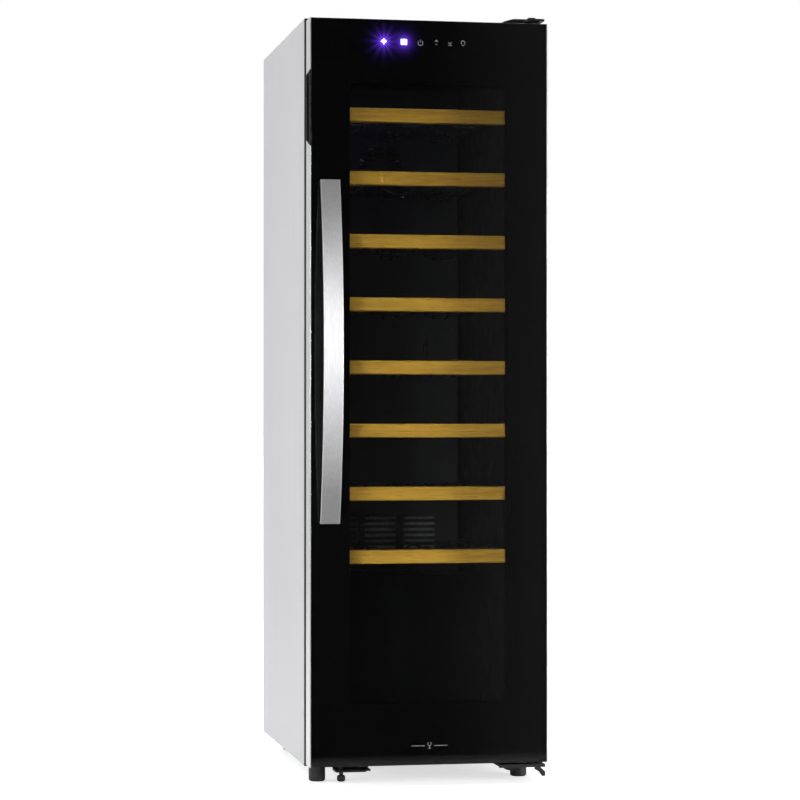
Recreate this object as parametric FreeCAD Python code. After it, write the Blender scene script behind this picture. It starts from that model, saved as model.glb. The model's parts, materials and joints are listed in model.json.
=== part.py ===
import FreeCAD, Part

import math
import os

from FreeCAD import Vector

# Tall, narrow compressor wine cooler with a glass door hinged on the right.
# Millimetres, +Z up, the front is -Y.  Every outline below is written with y as the depth behind
# the outer face of the door glass; save() moves it to the final frame, whose origin is the centre
# of the footprint on the floor.

# ---------------------------------------------------------------- driving dimensions
WIDTH = 345.0
DEPTH = 553.0
HANDLE_REACH = 42.0            # front of the handle's bow, ahead of the door glass
HALF = WIDTH / 2
GLASS_Y = -DEPTH / 2 + HANDLE_REACH
BACK_LIMIT = DEPTH - HANDLE_REACH

# cabinet shell
CABINET_FRONT = 50.0
FRAME_DEPTH = 6.0
SHELL_FRONT = CABINET_FRONT + FRAME_DEPTH
CABINET_BACK = 486.0
CABINET_BOTTOM = 26.0
CABINET_TOP = 1095.0
SHEET = 1.2
INSIDE_SHELL = HALF - SHEET
FLOOR_TOP = CABINET_BOTTOM + SHEET
ROOF_UNDER = CABINET_TOP - SHEET
BACK_INNER = CABINET_BACK - SHEET

# cavity and its moulded liner
CAVITY_HALF = 130.0
CAVITY_FLOOR = 82.0
CAVITY_CEILING = 1040.0
CAVITY_BACK = 436.0
HUMP_FOOT = 243.0
HUMP_EDGE = 262.0
HUMP_TOP = 286.0
LINER = 2.0

# machine bay at the bottom rear
BAY_FRONT = 292.0
BAY_TOP = 240.0

# door
DOOR_BOTTOM = 30.0
DOOR_TOP = 1089.0
DOOR_THICK = 36.0
PANE = 4.0
TRIM = 1.5
DOOR_HALF = HALF - TRIM
WINDOW_HALF = 115.0
WINDOW_BOTTOM = 118.0
WINDOW_TOP = 998.0
MASK_FRONT = PANE + 0.05
MASK_BACK = MASK_FRONT + 0.3
INNER_PANE_HALF = 140.0
INNER_PANE_BOTTOM = 90.0
INNER_PANE_TOP = 1030.0
SPACER_WIDTH = 8.0
SPACER_BACK = MASK_BACK + 12.0
INNER_PANE_BACK = SPACER_BACK + PANE
FIT = 0.3                      # air left round a loose piece
GASKET_OUT = 159.0
GASKET_WIDTH = 23.0
GASKET_BACK = CABINET_FRONT - FIT
GASKET_BOTTOM = 42.0
GASKET_TOP = 1077.0

# hinge line, parallel to Z
HINGE_X = 165.0
HINGE_Y = 26.0
PIN_R = 3.0
BUSH_BORE_R = 3.05
BUSH_R = 5.5
BUSH_LENGTH = 18.0

# handle
HANDLE_X = -145.0
HANDLE_WIDTH = 28.0
HANDLE_BOTTOM = 373.5
HANDLE_TOP = 859.0
HANDLE_THICK = 4.0
HANDLE_END_REACH = 10.0
POST_INSET = 22.0
POST_R = 6.0
STUD_R = 3.0

# finger recess in the door's left edge
GRIP_BACK_LOW, GRIP_BACK_HIGH = 919.0, 1011.0
GRIP_FRONT_LOW, GRIP_FRONT_HIGH = 910.0, 1014.0
GRIP_Y0, GRIP_Y1 = 6.2, 34.0
GRIP_DEPTH = 13.0
GRIP_WALL = 1.5

# touch keys behind the top of the glass
BOARD_LEFT, BOARD_RIGHT = -88.0, 68.0
BOARD_BOTTOM, BOARD_TOP = 1042.0, 1074.0
KEY_X = (-66.0, -37.0, -13.0, 10.0, 30.0, 49.0)

# hinge plates and their cover
PLATE = 3.0
PLATE_RIGHT = 171.5
PLATE_FRONT = 12.0
ARM_LEFT = 147.0
COVER_TOP = 1104.6

# shelves
SHELF_COUNT = 8
SHELF_PITCH = 91.4
SHELF_FIRST_TOP = 332.0
SHELF_HALF = 127.0
SHELF_FRONT = 75.0
WOOD_DEPTH = 18.0
WOOD_HEIGHT = 20.0
BOTTLE_SPACING = 81.5
CRADLE_R = 50.0
PEAK_R = 14.0
LOOP_WIRE_R = 2.5
CRADLE_WIRE_R = 2.0
LOOP_DROP = 4.35               # loop's centre line below the wood's top edge
LOOP_X = 124.0
LOOP_FRONT = SHELF_FRONT + WOOD_DEPTH + 3.5
LOOP_BACK = 386.0

# feet
FOOT_X = 149.0
FOOT_FRONT_Y = 86.0
FOOT_REAR_X = 134.0
FOOT_REAR_Y = 450.0
FOOT_R = 12.0
FOOT_PAD = 20.0
FOOT_STUD_R = 4.0
SOCKET_R = 9.0
SOCKET_TOP = 62.0
SOCKET_BORE_R = 4.15
STUD_TOP = 46.0

# circulation fan
FAN_Z = 920.0
FAN_SIZE = 80.0
FAN_DEPTH = 20.0
DUCT_FRONT = 396.0
DUCT_SHEET = 2.0
DUCT_HALF = 124.0
FAN_FRONT = DUCT_FRONT + DUCT_SHEET
FAN_BORE_R = 37.5
ROTOR_R = 35.5
HUB_R = 15.0
SHAFT_R = 1.5

# compressor and condenser
COMP_X, COMP_Y = -20.0, 388.0
COMP_R = 68.0
COMP_BOTTOM = 44.0
COMP_TOP = 196.0
COMP_SEAM = 118.0
COMP_PLATE_UNDER = 41.2
COMP_PLATE_TOP = 44.2
MOUNT_X, MOUNT_Y = 76.0, 38.0  # rubber mounts, from the compressor's axis
STUB_REACH = 80.0              # ends of the compressor's two stubs, from its axis
STUB_Y = 20.0
SUCTION_Z = 100.0
DISCHARGE_Z = 140.0
COIL_Y = 503.0
COIL_R = 2.5
COIL_HALF = 130.0
COIL_BOTTOM = 320.0
COIL_PITCH = 44.0
COIL_PASSES = 17
COIL_TOP = COIL_BOTTOM + (COIL_PASSES - 1) * COIL_PITCH
DRIER_X, DRIER_Y = 84.0, 452.0
DRIER_BOTTOM, DRIER_TOP = 80.0, 190.0

# electrical pieces in the machine bay
CONTROL_X = 138.0
CONTROL_FRONT, CONTROL_BACK = 372.0, 440.0
CONTROL_BOTTOM, CONTROL_TOP = 66.0, 176.0
GLAND_X, GLAND_Z = -128.0, 76.0
GLAND_BORE_R = 4.2

UP = Vector(0, 0, 1)
BACKWARD = Vector(0, 1, 0)
SIDEWAYS = Vector(1, 0, 0)
SHAPES = {}


# ---------------------------------------------------------------- helpers
def box(x0, x1, y0, y1, z0, z1):
    """Block between two corners."""
    return Part.makeBox(x1 - x0, y1 - y0, z1 - z0, Vector(x0, y0, z0))


def rod(radius, start, axis, length):
    """Round bar from a point along an axis."""
    return Part.makeCylinder(radius, length, Vector(*start), axis)


def ring(outer_half, z0, z1, inner_half, inner_z0, inner_z1, y0, y1):
    """Rectangular picture frame that lies in the XZ plane."""
    outer = box(-outer_half, outer_half, y0, y1, z0, z1)
    return outer.cut(box(-inner_half, inner_half, y0 - 1, y1 + 1, inner_z0, inner_z1))


def plate_yz(points, x0, x1):
    """Polygon given as (y, z) points, extruded from x0 to x1."""
    face = Part.Face(Part.makePolygon([Vector(x0, y, z) for y, z in points + points[:1]]))
    return face.extrude(Vector(x1 - x0, 0, 0))


def plate_xz(points, y0, y1):
    """Polygon given as (x, z) points, extruded from y0 to y1."""
    face = Part.Face(Part.makePolygon([Vector(x, y0, z) for x, z in points + points[:1]]))
    return face.extrude(Vector(0, y1 - y0, 0))


def fuse(shapes):
    """One solid out of pieces that overlap or share faces."""
    return shapes[0].multiFuse(shapes[1:]).removeSplitter()


def soften(shape, radius, wanted):
    """Fillet the edges that wanted(edge) picks."""
    edges = [edge for edge in shape.Edges if wanted(edge)]
    return shape.makeFillet(radius, edges)


def runs_along(edge, axis):
    """True for a straight edge parallel to the axis."""
    if edge.Curve.TypeId != "Part::GeomLine":
        return False
    return edge.tangentAt(edge.FirstParameter).cross(axis).Length < 1e-6


def bent_path(points, bend):
    """Straight runs joined by tangent arcs of one bend radius."""
    points = [Vector(*p) for p in points]
    edges = []
    here = points[0]
    for before, corner, after in zip(points, points[1:], points[2:]):
        a = (before - corner).normalize()
        b = (after - corner).normalize()
        half = a.getAngle(b) / 2
        reach = bend / math.tan(half)
        first = corner + a * reach
        last = corner + b * reach
        inward = (a + b).normalize()
        middle = corner + inward * (bend / math.sin(half) - bend)
        if (first - here).Length > 1e-6:
            edges.append(Part.LineSegment(here, first).toShape())
        edges.append(Part.Arc(first, middle, last).toShape())
        here = last
    if (points[-1] - here).Length > 1e-6:
        edges.append(Part.LineSegment(here, points[-1]).toShape())
    return Part.Wire(edges)


def tube(path, radius):
    """Round bar swept along a path of lines and arcs."""
    first = path.OrderedEdges[0]
    start = first.valueAt(first.FirstParameter)
    heading = first.tangentAt(first.FirstParameter)
    circle = Part.Wire([Part.makeCircle(radius, start, heading)])
    return path.makePipeShell([circle], True, False)


def save(name, shape):
    """Move a sub-part to the final frame and keep it for export."""
    shape = shape.copy()
    shape.translate(Vector(0, GLASS_Y, 0))
    if not shape.isValid():
        raise ValueError(name + " is not a valid shape")
    SHAPES[name] = shape


# ---------------------------------------------------------------- cabinet shell
def side_panel(side):
    """Painted sheet with a flange turned in behind the front frame, side is -1 or 1."""
    flange = 14.0
    outer, inner = side * HALF, side * INSIDE_SHELL
    skin = box(min(outer, inner), max(outer, inner), SHELL_FRONT, CABINET_BACK,
               CABINET_BOTTOM, CABINET_TOP)
    edge = side * (INSIDE_SHELL - flange)
    turned = box(min(inner, edge), max(inner, edge), SHELL_FRONT, SHELL_FRONT + SHEET,
                 FLOOR_TOP, ROOF_UNDER)
    return fuse([skin, turned])


def top_panel():
    """Roof sheet with a lip turned down inside the back panel."""
    sheet = box(-INSIDE_SHELL, INSIDE_SHELL, SHELL_FRONT, CABINET_BACK, ROOF_UNDER, CABINET_TOP)
    lip = box(-INSIDE_SHELL, INSIDE_SHELL, BACK_INNER - SHEET, BACK_INNER, ROOF_UNDER - 12,
              ROOF_UNDER)
    return fuse([sheet, lip])


def back_panel():
    """Rear sheet above the machine bay, with two pressed stiffening ribs."""
    rib_depth, rib_half = 3.0, 9.0
    sheet = box(-INSIDE_SHELL, INSIDE_SHELL, BACK_INNER, CABINET_BACK, BAY_TOP - SHEET,
                ROOF_UNDER)
    pieces = [sheet]
    for x in (-150.0, 150.0):
        pieces.append(box(x - rib_half, x + rib_half, CABINET_BACK, CABINET_BACK + rib_depth,
                          BAY_TOP + 30, ROOF_UNDER - 40))
    panel = fuse(pieces)
    return soften(panel, 2.0, lambda e: runs_along(e, UP)
                  and abs(e.CenterOfMass.y - CABINET_BACK - rib_depth) < 0.01)


def base_pan():
    """Folded steel floor: front and rear upstands and two sockets for the levelling feet."""
    upstand = 22.0
    pieces = [
        box(-INSIDE_SHELL, INSIDE_SHELL, SHELL_FRONT, CABINET_BACK, CABINET_BOTTOM, FLOOR_TOP),
        box(-INSIDE_SHELL, INSIDE_SHELL, SHELL_FRONT + SHEET, SHELL_FRONT + 2 * SHEET, FLOOR_TOP,
            FLOOR_TOP + upstand),
        box(-INSIDE_SHELL, INSIDE_SHELL, BACK_INNER, CABINET_BACK, FLOOR_TOP,
            FLOOR_TOP + upstand),
    ]
    for side in (-1, 1):
        pieces.append(rod(SOCKET_R, (side * FOOT_X, FOOT_FRONT_Y, CABINET_BOTTOM), UP,
                          SOCKET_TOP - CABINET_BOTTOM))
    pan = fuse(pieces)
    for side in (-1, 1):
        pan = pan.cut(rod(SOCKET_BORE_R, (side * FOOT_X, FOOT_FRONT_Y, 0), UP, SOCKET_TOP - 2))
    return pan


def machine_bay_wall():
    """Folded sheet that parts the machine bay from the insulation."""
    wall = box(-INSIDE_SHELL, INSIDE_SHELL, BAY_FRONT, BAY_FRONT + SHEET, FLOOR_TOP, BAY_TOP)
    roof = box(-INSIDE_SHELL, INSIDE_SHELL, BAY_FRONT, BACK_INNER, BAY_TOP - SHEET, BAY_TOP)
    return fuse([wall, roof])


def front_frame():
    """Black collar that closes the shell's front and takes the door gasket."""
    frame = ring(HALF, CABINET_BOTTOM, CABINET_TOP, CAVITY_HALF + LINER, CAVITY_FLOOR - LINER,
                 CAVITY_CEILING + LINER, CABINET_FRONT, SHELL_FRONT)
    return soften(frame, 1.0, lambda e: abs(e.CenterOfMass.y - CABINET_FRONT) < 0.01
                  and (abs(abs(e.CenterOfMass.x) - HALF) < 0.01
                       or abs(e.CenterOfMass.z - CABINET_TOP) < 0.01
                       or abs(e.CenterOfMass.z - CABINET_BOTTOM) < 0.01))


def cavity_outline(grow, front):
    """Side outline of the cavity, grown by a wall thickness, as (y, z) points."""
    rise = HUMP_TOP - CAVITY_FLOOR
    run = HUMP_EDGE - HUMP_FOOT
    shift = grow * (math.hypot(rise, run) - run) / rise
    return [
        (front, CAVITY_FLOOR - grow),
        (HUMP_FOOT + shift, CAVITY_FLOOR - grow),
        (HUMP_EDGE + shift, HUMP_TOP - grow),
        (CAVITY_BACK + grow, HUMP_TOP - grow),
        (CAVITY_BACK + grow, CAVITY_CEILING + grow),
        (front, CAVITY_CEILING + grow),
    ]


def liner_block(grow, front):
    """Solid that fills the cavity, grown by a wall thickness."""
    half = CAVITY_HALF + grow
    return plate_yz(cavity_outline(grow, front), -half, half)


def inner_liner():
    """Moulded black liner, open at the front, with a hump over the machine bay."""
    inside = liner_block(0, CABINET_FRONT - 5)
    inside = soften(inside, 6.0, lambda e: runs_along(e, BACKWARD))
    return liner_block(LINER, CABINET_FRONT).cut(inside)


def foam_insulation(neighbours):
    """Foam between the liner and the shell."""
    foam = box(-INSIDE_SHELL, INSIDE_SHELL, SHELL_FRONT + SHEET, BACK_INNER, FLOOR_TOP,
               ROOF_UNDER)
    foam = foam.cut(liner_block(LINER, CABINET_FRONT))
    foam = foam.cut(box(-HALF, HALF, BAY_FRONT, CABINET_BACK, 0, BAY_TOP))
    for side in (-1, 1):
        foam = foam.cut(rod(SOCKET_R, (side * FOOT_X, FOOT_FRONT_Y, 0), UP, SOCKET_TOP))
    for piece in neighbours:
        foam = foam.cut(piece)
    return foam


# ---------------------------------------------------------------- inside the cavity
def shelf_top(number):
    """Height of the top edge of a shelf's wooden front, counted from the lowest."""
    return SHELF_FIRST_TOP + SHELF_PITCH * number


def shelf_rail(side):
    """Moulded wall strip with a guide channel for each rack."""
    strip, reach, ledge = 2.0, 9.0, 3.0
    first, last = 100.0, 392.0
    wall = CAVITY_HALF
    low = shelf_top(0) - 26
    high = shelf_top(SHELF_COUNT - 1) + 20

    def slab(x_reach, y0, y1, z0, z1):
        a, b = side * (wall - x_reach), side * wall
        return box(min(a, b), max(a, b), y0, y1, z0, z1)

    pieces = [slab(strip, first, last, low, high)]
    for number in range(SHELF_COUNT):
        wire = shelf_top(number) - LOOP_DROP
        under = wire - LOOP_WIRE_R - 0.4
        over = wire + LOOP_WIRE_R + 0.9
        pieces.append(slab(reach, first, last, under - ledge, under))
        pieces.append(slab(reach, first, last, over, over + ledge))
    return fuse(pieces)


def air_duct_panel():
    """Cover over the evaporator with a fan grille, a return grille and turned-back sides."""
    z0, z1 = HUMP_TOP, CAVITY_CEILING
    slot, pitch = 4.0, 9.0
    panel = box(-DUCT_HALF, DUCT_HALF, DUCT_FRONT, DUCT_FRONT + DUCT_SHEET, z0, z1)
    for side in (-1, 1):
        a, b = side * (DUCT_HALF - DUCT_SHEET), side * DUCT_HALF
        panel = panel.fuse(box(min(a, b), max(a, b), DUCT_FRONT, CAVITY_BACK, z0, z1))
    panel = panel.removeSplitter()
    cutters = []
    for row in range(-3, 4):
        z = FAN_Z + row * pitch
        half = math.sqrt(34.0 ** 2 - (row * pitch) ** 2)
        cutters.append(box(-half, half, DUCT_FRONT - 1, FAN_FRONT + 1, z - slot / 2, z + slot / 2))
    for row in range(6):
        z = HUMP_TOP + 34 + row * pitch
        for x in (-62.0, 0.0, 62.0):
            cutters.append(box(x - 25, x + 25, DUCT_FRONT - 1, FAN_FRONT + 1, z, z + slot))
    return panel.cut(Part.Compound(cutters))


def fan_frame():
    """Square fan housing behind the duct panel, with struts and a motor boss."""
    half = FAN_SIZE / 2
    back = FAN_FRONT + FAN_DEPTH
    body = box(-half, half, FAN_FRONT, back, FAN_Z - half, FAN_Z + half)
    body = soften(body, 4.0, lambda e: runs_along(e, BACKWARD))
    body = body.cut(rod(FAN_BORE_R, (0, FAN_FRONT - 1, FAN_Z), BACKWARD, FAN_DEPTH + 2))
    pieces = [body, rod(HUB_R, (0, back - 3, FAN_Z), BACKWARD, 3)]
    for turn in range(4):
        strut = box(-2, 2, back - 3, back, FAN_Z, FAN_Z + FAN_BORE_R + 1)
        strut.rotate(Vector(0, 0, FAN_Z), BACKWARD, 45 + 90 * turn)
        pieces.append(strut)
    pieces.append(rod(SHAFT_R, (0, back - 13, FAN_Z), BACKWARD, 12))
    frame = fuse(pieces)
    for x in (-1, 1):
        for z in (-1, 1):
            hole = rod(2.2, (x * 35.75, FAN_FRONT - 1, FAN_Z + z * 35.75), BACKWARD,
                       FAN_DEPTH + 2)
            frame = frame.cut(hole)
    return frame


def fan_rotor():
    """Seven-bladed impeller on the motor shaft."""
    front, deep = FAN_FRONT + 2.0, 12.0
    blades = 7
    hub = rod(HUB_R, (0, front, FAN_Z), BACKWARD, deep)
    hub = soften(hub, 2.0, lambda e: abs(e.CenterOfMass.y - front) < 0.01
                 and e.Curve.TypeId == "Part::GeomCircle")
    pieces = [hub]
    for number in range(blades):
        blade = box(-10, 10, front + 5.4, front + 6.8, FAN_Z + HUB_R - 2, FAN_Z + ROTOR_R + 4)
        blade.rotate(Vector(0, front + 6, FAN_Z), UP, 32)
        blade = blade.common(rod(ROTOR_R, (0, front, FAN_Z), BACKWARD, deep))
        blade.rotate(Vector(0, 0, FAN_Z), BACKWARD, 360.0 * number / blades)
        pieces.append(blade)
    rotor = fuse(pieces)
    return rotor.cut(rod(SHAFT_R + 0.05, (0, front + 3, FAN_Z), BACKWARD, deep))


def evaporator_plate():
    """Roll-bond plate with its channel pressed out of the front face."""
    plate_y = 429.0
    plate = box(-112, 112, plate_y, plate_y + 1.6, HUMP_TOP + 30, 1010)
    passes, pitch, width = 12, 55.0, 8.0
    channel = []
    for number in range(passes):
        z = HUMP_TOP + 60 + number * pitch
        channel.append(box(-95, 95, plate_y - 2.0, plate_y, z, z + width))
        if number:
            x = 95 - width if number % 2 else -95
            channel.append(box(x, x + width, plate_y - 2.0, plate_y, z - pitch, z + width))
    return fuse([plate] + channel)


def led_strip():
    """Light bar under the ceiling, just behind the door."""
    bar = box(-96, 96, 58, 72, CAVITY_CEILING - 8, CAVITY_CEILING)
    return soften(bar, 3.0, lambda e: runs_along(e, SIDEWAYS)
                  and e.CenterOfMass.z < CAVITY_CEILING - 7)


# ---------------------------------------------------------------- shelves
def shelf_front(number):
    """Beech strip on the front of a rack."""
    top = shelf_top(number)
    wood = box(-SHELF_HALF, SHELF_HALF, SHELF_FRONT, SHELF_FRONT + WOOD_DEPTH,
               top - WOOD_HEIGHT, top)
    wood = soften(wood, 2.0, lambda e: abs(e.CenterOfMass.y - SHELF_FRONT) < 0.01)
    return wood


def cradle_path(y, loop_z):
    """Wavy wire across the rack: three dips for bottles, joined by smaller crests."""
    half_pitch = BOTTLE_SPACING / 2
    drop = math.sqrt((CRADLE_R + PEAK_R) ** 2 - half_pitch ** 2)
    crest_centre = loop_z - PEAK_R
    dip_centre = crest_centre + drop
    meet_x = half_pitch * CRADLE_R / (CRADLE_R + PEAK_R)
    meet_z = dip_centre - drop * CRADLE_R / (CRADLE_R + PEAK_R)
    edges = []
    outer = 1.5 * BOTTLE_SPACING
    edges.append(Part.LineSegment(Vector(-LOOP_X, y, loop_z), Vector(-outer, y, loop_z)).toShape())
    for bottle in (-1, 0, 1):
        centre = bottle * BOTTLE_SPACING
        crest = Vector(centre - half_pitch, y, loop_z)
        enter = Vector(centre - meet_x, y, meet_z)
        leave = Vector(centre + meet_x, y, meet_z)
        bottom = Vector(centre, y, dip_centre - CRADLE_R)
        following = Vector(centre + half_pitch, y, loop_z)
        edges.append(crest_arc(crest, enter, crest_centre).toShape())
        edges.append(Part.Arc(enter, bottom, leave).toShape())
        edges.append(crest_arc(leave, following, crest_centre).toShape())
    edges.append(Part.LineSegment(Vector(outer, y, loop_z), Vector(LOOP_X, y, loop_z)).toShape())
    return Part.Wire(edges)


def crest_arc(start, end, centre_z):
    """Arc over half a crest between its top and the dip beside it."""
    top = start if start.z > end.z else end
    low = end if start.z > end.z else start
    centre = Vector(top.x, top.y, centre_z)
    angle = math.atan2(low.z - centre.z, low.x - centre.x)
    middle_angle = (angle + math.pi / 2) / 2
    middle = centre + Vector(math.cos(middle_angle), 0, math.sin(middle_angle)) * PEAK_R
    return Part.Arc(start, middle, end)


def shelf_rack(number):
    """Black wire rack: a closed loop, three cradle wires and two tabs behind the wood."""
    loop_z = shelf_top(number) - LOOP_DROP
    corner = 10.0
    middle_y = (LOOP_FRONT + LOOP_BACK) / 2
    loop = bent_path([(LOOP_X, middle_y, loop_z), (LOOP_X, LOOP_BACK, loop_z),
                      (-LOOP_X, LOOP_BACK, loop_z), (-LOOP_X, LOOP_FRONT, loop_z),
                      (LOOP_X, LOOP_FRONT, loop_z), (LOOP_X, middle_y, loop_z)], corner)
    pieces = [tube(loop, LOOP_WIRE_R)]
    for y in (140.0, 236.0, 332.0):
        pieces.append(tube(cradle_path(y, loop_z), CRADLE_WIRE_R))
    wood_back = SHELF_FRONT + WOOD_DEPTH
    for x in (-70.0, 70.0):
        pieces.append(box(x - 12, x + 12, wood_back, wood_back + 2.0, loop_z - 11, loop_z + 1.5))
    return fuse(pieces)


# ---------------------------------------------------------------- door
def grip_outline(y0, y1, grow):
    """Trapezoid of the finger recess between two depths, grown at its ends, as (y, z) points."""
    deep = GRIP_Y1 - GRIP_Y0

    def low(y):
        return GRIP_FRONT_LOW + (GRIP_BACK_LOW - GRIP_FRONT_LOW) * (y - GRIP_Y0) / deep - grow

    def high(y):
        return GRIP_FRONT_HIGH + (GRIP_BACK_HIGH - GRIP_FRONT_HIGH) * (y - GRIP_Y0) / deep + grow

    return [(y0, low(y0)), (y1, low(y1)), (y1, high(y1)), (y0, high(y0))]


def grip_body():
    """Outer block of the finger pocket."""
    outline = grip_outline(GRIP_Y0 - GRIP_WALL, GRIP_Y1 + GRIP_WALL, GRIP_WALL)
    return plate_yz(outline, -HALF, -HALF + GRIP_DEPTH + GRIP_WALL)


def post_heights():
    """Heights of the two handle posts."""
    return (HANDLE_BOTTOM + POST_INSET, HANDLE_TOP - POST_INSET)


def drilled(shape, radius):
    """Cut the two handle stud holes through a piece of the door."""
    for z in post_heights():
        shape = shape.cut(rod(radius, (HANDLE_X, -5, z), BACKWARD, DOOR_THICK + 10))
    return shape


def door_glass_outer():
    """Full-size front pane, its edges slightly eased, drilled for the handle."""
    pane = box(-DOOR_HALF, DOOR_HALF, 0, PANE, DOOR_BOTTOM, DOOR_TOP)
    pane = soften(pane, 0.8, lambda e: e.CenterOfMass.y < 0.01)
    return drilled(pane, STUD_R + 0.5)


def border_mask():
    """Black printed border behind the front pane."""
    mask = ring(DOOR_HALF, DOOR_BOTTOM, DOOR_TOP, WINDOW_HALF, WINDOW_BOTTOM, WINDOW_TOP,
                MASK_FRONT, MASK_BACK)
    return drilled(mask, STUD_R + 0.5)


def glass_spacer():
    """Spacer bar between the panes."""
    return ring(INNER_PANE_HALF, INNER_PANE_BOTTOM, INNER_PANE_TOP,
                INNER_PANE_HALF - SPACER_WIDTH, INNER_PANE_BOTTOM + SPACER_WIDTH,
                INNER_PANE_TOP - SPACER_WIDTH, MASK_BACK, SPACER_BACK)


def door_glass_inner():
    """Rear pane of the double glazing."""
    return box(-INNER_PANE_HALF, INNER_PANE_HALF, SPACER_BACK, INNER_PANE_BACK,
               INNER_PANE_BOTTOM, INNER_PANE_TOP)


def touch_board_box(grow):
    """Room for the touch board in the top rail."""
    return box(BOARD_LEFT - grow, BOARD_RIGHT + grow, MASK_BACK, MASK_BACK + 5 + grow,
               BOARD_BOTTOM - grow, BOARD_TOP + grow)


def door_frame():
    """Black profile that holds the panes, with a groove for the gasket."""
    frame = ring(DOOR_HALF, DOOR_BOTTOM, DOOR_TOP, INNER_PANE_HALF - SPACER_WIDTH,
                 INNER_PANE_BOTTOM + SPACER_WIDTH, INNER_PANE_TOP - SPACER_WIDTH, MASK_BACK,
                 DOOR_THICK)
    pocket = box(-INNER_PANE_HALF - FIT, INNER_PANE_HALF + FIT, 0, INNER_PANE_BACK,
                 INNER_PANE_BOTTOM - FIT, INNER_PANE_TOP + FIT)
    groove_out = GASKET_OUT - 8
    groove = ring(groove_out, GASKET_BOTTOM + 8, GASKET_TOP - 8, groove_out - 6,
                  GASKET_BOTTOM + 14, GASKET_TOP - 14, DOOR_THICK - 6, DOOR_THICK + 1)
    frame = frame.cut(pocket).cut(groove).cut(touch_board_box(FIT))
    frame = frame.cut(grip_body())
    for z in (DOOR_BOTTOM, DOOR_TOP - BUSH_LENGTH):
        frame = frame.cut(rod(BUSH_R, (HINGE_X, HINGE_Y, z), UP, BUSH_LENGTH))
    for z in post_heights():
        frame = frame.cut(rod(STUD_R, (HANDLE_X, 0, z), BACKWARD, 20))
    return frame


def edge_trims():
    """Bright metal strips down both edges of the door; the left one stops at the recess."""
    strips = []
    for side in (-1, 1):
        a, b = side * DOOR_HALF, side * HALF
        strip = box(min(a, b), max(a, b), 0.4, DOOR_THICK, DOOR_BOTTOM, DOOR_TOP)
        strip = soften(strip, 0.6, lambda e: runs_along(e, UP) and e.CenterOfMass.y < 0.5
                       and abs(e.CenterOfMass.x) > HALF - 0.1)
        strips.append(strip)
    gap = plate_yz(grip_outline(0, DOOR_THICK + 1, GRIP_WALL), -HALF - 1, -DOOR_HALF + 1)
    strips[0] = strips[0].cut(gap)
    return Part.Compound(strips)


def grip_cup():
    """Finger pocket let into the door's left edge, open to the side."""
    hollow = plate_yz(grip_outline(GRIP_Y0, GRIP_Y1, 0), -HALF - 1, -HALF + GRIP_DEPTH)
    hollow = soften(hollow, 3.0, lambda e: abs(e.CenterOfMass.x + HALF - GRIP_DEPTH) < 0.01)
    return grip_body().cut(hollow)


def door_gasket():
    """Magnetic seal: a flat foot on the door, a barb in its groove and a soft bulb."""
    def loop(inset_out, inset_in, y0, y1):
        return ring(GASKET_OUT - inset_out, GASKET_BOTTOM + inset_out, GASKET_TOP - inset_out,
                    GASKET_OUT - inset_in, GASKET_BOTTOM + inset_in, GASKET_TOP - inset_in,
                    y0, y1)

    foot = loop(0, GASKET_WIDTH, DOOR_THICK, DOOR_THICK + 2.5)
    neck = loop(7, 15, DOOR_THICK + 2.5, DOOR_THICK + 6)
    bulb = loop(3, 19, DOOR_THICK + 6, GASKET_BACK)
    barb = loop(8.5, 13.5, DOOR_THICK - 5, DOOR_THICK)
    bulb = soften(bulb, 1.8, lambda e: abs(e.CenterOfMass.y - GASKET_BACK) < 0.01)
    return fuse([foot, neck, bulb, barb])


def handle_bar():
    """Flat bar bowed towards the user: a rounded strip turned about the bow's centre line."""
    middle = (HANDLE_BOTTOM + HANDLE_TOP) / 2
    half = (HANDLE_TOP - HANDLE_BOTTOM) / 2
    rise = HANDLE_REACH - HANDLE_END_REACH
    radius = (half ** 2 + rise ** 2) / (2 * rise)
    x0, x1 = HANDLE_X - HANDLE_WIDTH / 2, HANDLE_X + HANDLE_WIDTH / 2
    y0, y1 = -HANDLE_REACH, -HANDLE_REACH + HANDLE_THICK
    strip = box(x0, x1, y0, y1, middle, middle + 1)
    strip = soften(strip, 1.0, lambda e: runs_along(e, UP))
    section = min(strip.Faces, key=lambda f: f.CenterOfMass.z)
    pivot = Vector(0, radius - HANDLE_REACH, middle)
    sweep = math.degrees(math.asin(half / radius))
    section.rotate(pivot, SIDEWAYS, -sweep)
    return section.revolve(pivot, SIDEWAYS, 2 * sweep)


def handle_posts(bar):
    """Two spacers under the bar, each with a stud that passes through the glass."""
    posts = []
    for z in post_heights():
        spacer = rod(POST_R, (HANDLE_X, 0, z), BACKWARD * -1, HANDLE_REACH)
        beyond = bar.copy()
        beyond.translate(Vector(0, -HANDLE_THICK, 0))
        spacer = spacer.cut(bar).cut(beyond)
        spacer = max(spacer.Solids, key=lambda s: s.BoundBox.YMax)
        stud = rod(STUD_R, (HANDLE_X, 0, z), BACKWARD, 20)
        posts.append(fuse([spacer, stud]))
    return Part.Compound(posts)


def touch_board():
    """Circuit board behind the top of the glass, with six sensing pads and a connector."""
    front = MASK_BACK
    key_z = (BOARD_BOTTOM + BOARD_TOP) / 2
    pieces = [box(BOARD_LEFT, BOARD_RIGHT, front + 1.0, front + 2.6, BOARD_BOTTOM, BOARD_TOP)]
    for x in KEY_X:
        pieces.append(rod(6.0, (x, front + 0.2, key_z), BACKWARD, 0.8))
    connector = box(BOARD_LEFT + 8, BOARD_LEFT + 28, front + 2.6, front + 5.0,
                    BOARD_BOTTOM + 2, BOARD_BOTTOM + 8)
    return fuse(pieces + [connector])


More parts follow.
